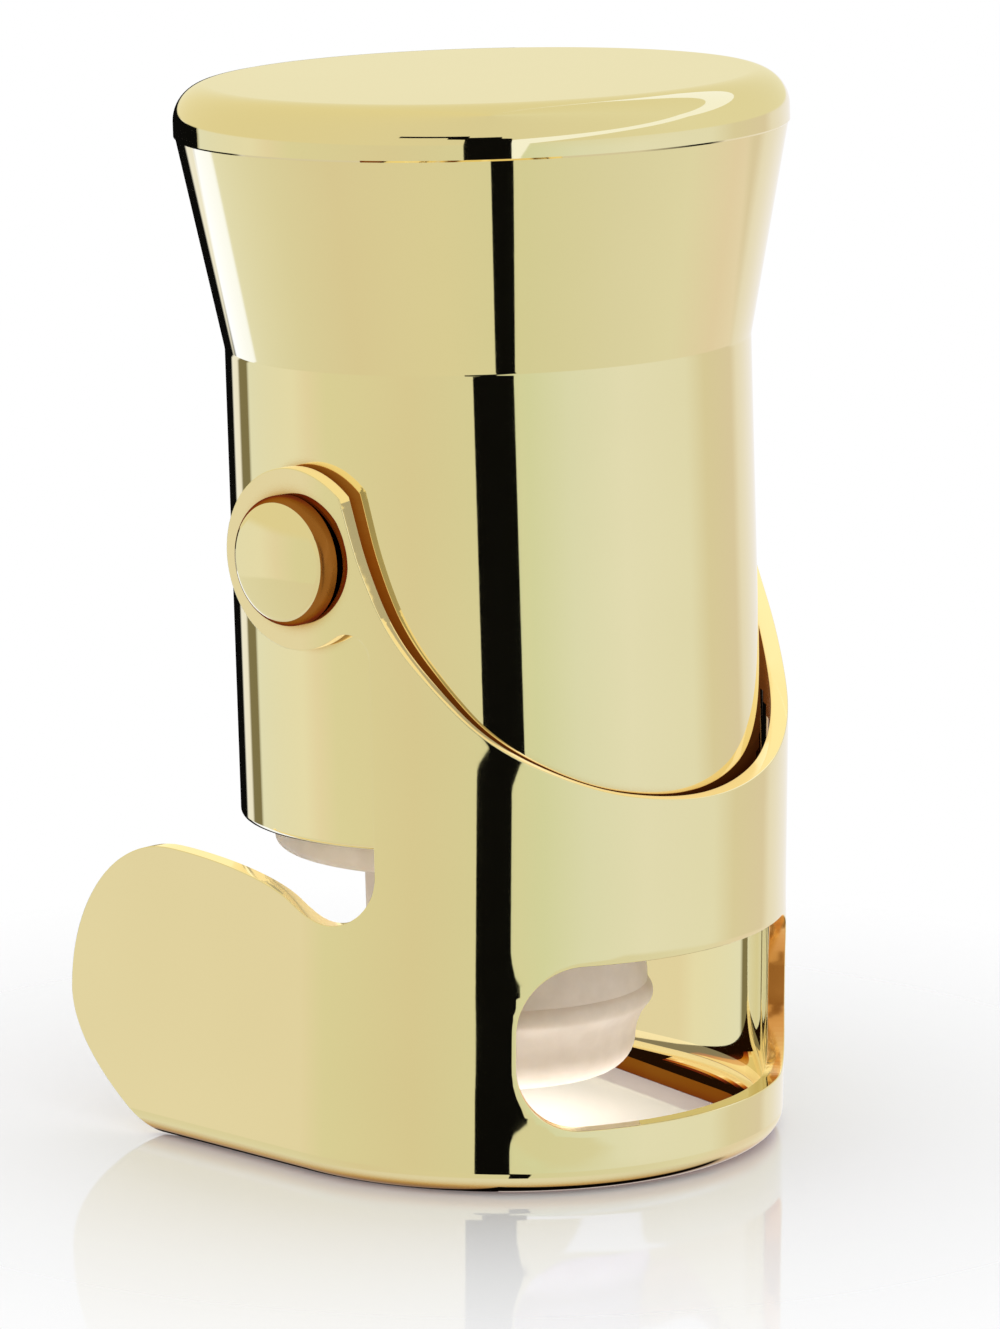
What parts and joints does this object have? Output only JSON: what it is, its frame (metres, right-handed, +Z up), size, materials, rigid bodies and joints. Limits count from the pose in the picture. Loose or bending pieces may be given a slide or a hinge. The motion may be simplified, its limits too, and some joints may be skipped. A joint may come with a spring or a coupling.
{
  "type": "champagne stopper",
  "caption": "Champagne stopper: a flared cap over a silicone plug, in a U-shaped clamp collar that swings on side rivets to grip the bottle's neck.",
  "frame": {"origin": "on the surface it stands on, below the middle of the whole bounding box", "axes": "+Z up the standing collar, -Y towards the collar's closed end and its window, X along the rivets"},
  "size_m": [0.0396, 0.0394, 0.0678],
  "materials": {
    "gold_cast": "mirror polished, pale gold plating on a zinc casting",
    "gold_sheet": "mirror polished, pale gold plating on bent sheet",
    "silicone": "satin",
    "carrier_plastic": "moulded",
    "washer_nylon": "moulded",
    "screw_steel": "zinc plated"
  },
  "bodies": {
    "cap": {"cap_body": "gold_cast", "seal_plug": "silicone", "seal_carrier": "carrier_plastic", "carrier_screw": "screw_steel", "rivet_left": "gold_sheet", "rivet_right": "gold_sheet", "pivot_washer_left": "washer_nylon", "pivot_washer_right": "washer_nylon", "rivet_burr_left": "screw_steel", "rivet_burr_right": "screw_steel"},
    "collar": {"clamp_collar": "gold_sheet"}
  },
  "joints": [
    {"name": "collar_swing", "type": "hinge", "parent": "cap", "child": "collar", "pos_m": [0, -0.00079, 0.0389], "axis": [-1, 0, 0], "range_deg": [0, 78]}
  ]
}
